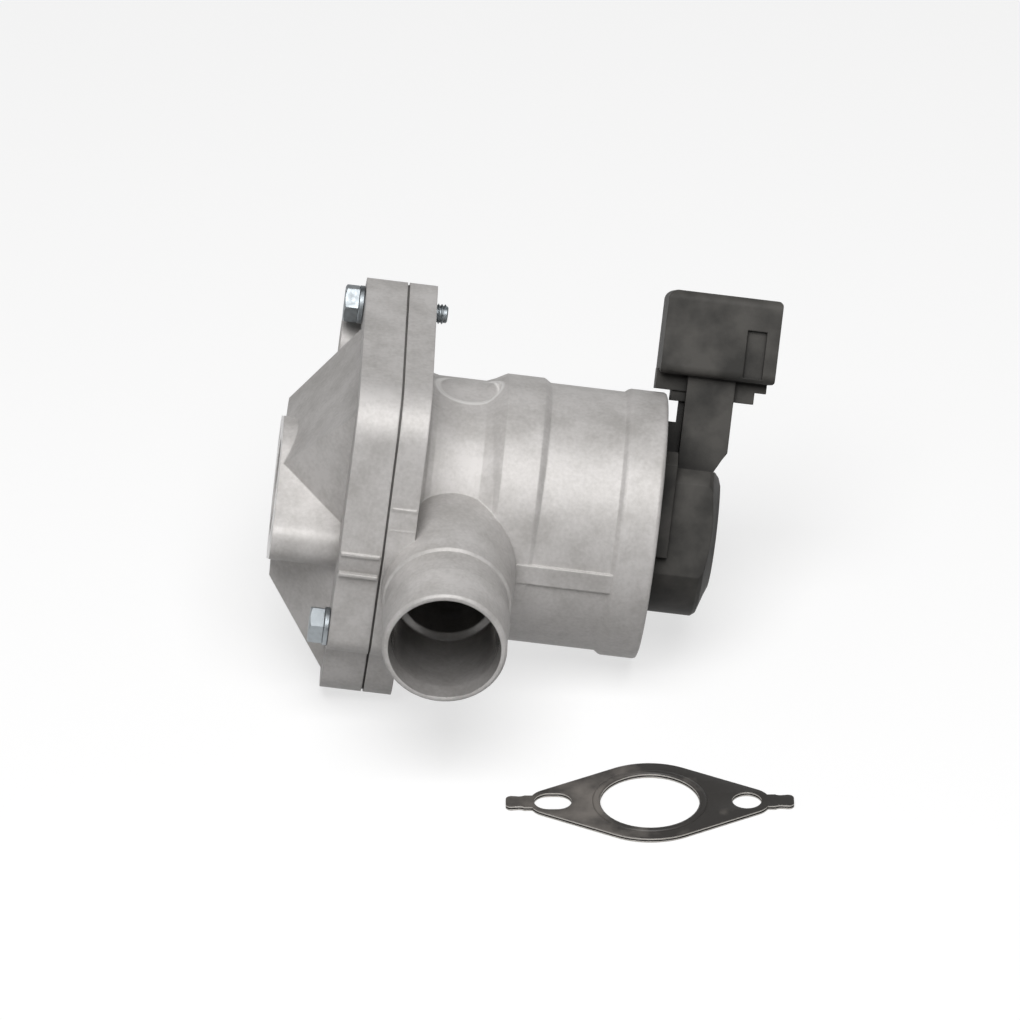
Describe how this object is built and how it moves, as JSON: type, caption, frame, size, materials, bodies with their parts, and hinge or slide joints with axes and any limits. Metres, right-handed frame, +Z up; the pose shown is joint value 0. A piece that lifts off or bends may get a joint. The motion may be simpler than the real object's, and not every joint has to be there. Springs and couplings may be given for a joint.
{
  "type": "secondary air switching and check valve",
  "caption": "Cast solenoid air valve with a reed check valve under a flanged cover, a hose spigot, a two-bolt outlet pad, a plug socket on a stalk, and a loose port gasket.",
  "frame": {"origin": "centre of the outlet port on the face of the two-bolt pad; the ground that the valve and gasket lie on is 42.5 mm below it", "axes": "-Y along the inlet spigot towards its mouth; +Z up as the valve lies on the ground; the valve's own axis runs from the pad to the solenoid along +X and falls 7.24 degrees towards it"},
  "size_m": [0.1243, 0.1317, 0.0839],
  "materials": {
    "cast_aluminium": "die-cast, lightly blasted",
    "machined_aluminium": "turned",
    "seam_gasket": "rubber-coated sheet",
    "zinc_screws": "bright zinc",
    "spring_steel": "polished strip and wire",
    "steel": "plain",
    "bronze": "sintered",
    "rubber": "moulded",
    "copper_wire": "enamelled winding",
    "black_plastic": "glass-filled moulding",
    "tinned_brass": "tinned",
    "port_gasket": "graphite-coated sheet steel"
  },
  "bodies": {
    "housing": {"valve_housing": "cast_aluminium", "air_cover": "cast_aluminium", "seam_gasket": "seam_gasket", "cover_screws": "zinc_screws", "screw_washers": "zinc_screws", "reed_plate": "machined_aluminium", "reed_roots": "spring_steel", "reed_stops": "steel", "reed_screws": "zinc_screws", "return_spring": "spring_steel", "guide_bush": "bronze", "shaft_seal": "rubber", "front_plate": "steel", "plate_seal": "rubber", "armature_sleeve": "bronze", "fixed_core": "steel", "coil_bobbin": "black_plastic", "coil_winding": "copper_wire", "magnet_case": "steel", "solenoid_cap": "black_plastic", "cap_seal": "rubber", "terminals": "tinned_brass"},
    "plunger": {"valve_disc": "machined_aluminium", "valve_seal": "rubber", "disc_nut": "zinc_screws", "valve_shaft": "steel", "armature": "steel"},
    "upper_flap": {"upper_reed": "spring_steel"},
    "lower_flap": {"lower_reed": "spring_steel"},
    "gasket": {"port_gasket": "port_gasket"}
  },
  "joints": [
    {"name": "valve_lift", "type": "slide", "parent": "housing", "child": "plunger", "axis": [0.992, 0, -0.1261], "range_m": [0, 0.0055], "stiffness_N_per_m": 800, "springref_m": -0.006, "deforming": ["return_spring"]},
    {"name": "upper_reed_bend", "type": "hinge", "parent": "housing", "child": "upper_flap", "pos_m": [0.02507, 0.0026, 0.01718], "axis": [0, 1, 0], "range_deg": [0, 12], "stiffness_Nm_per_rad": 0.01, "springref_deg": -2.86},
    {"name": "lower_reed_bend", "type": "hinge", "parent": "housing", "child": "lower_flap", "pos_m": [0.01997, 0.0026, -0.0229], "axis": [0, -1, 0], "range_deg": [0, 12], "stiffness_Nm_per_rad": 0.01, "springref_deg": -2.86},
    {"name": "gasket_lift", "type": "slide", "parent": "housing", "child": "gasket", "axis": [0, 0, 1], "range_m": [0, 0.04]}
  ]
}
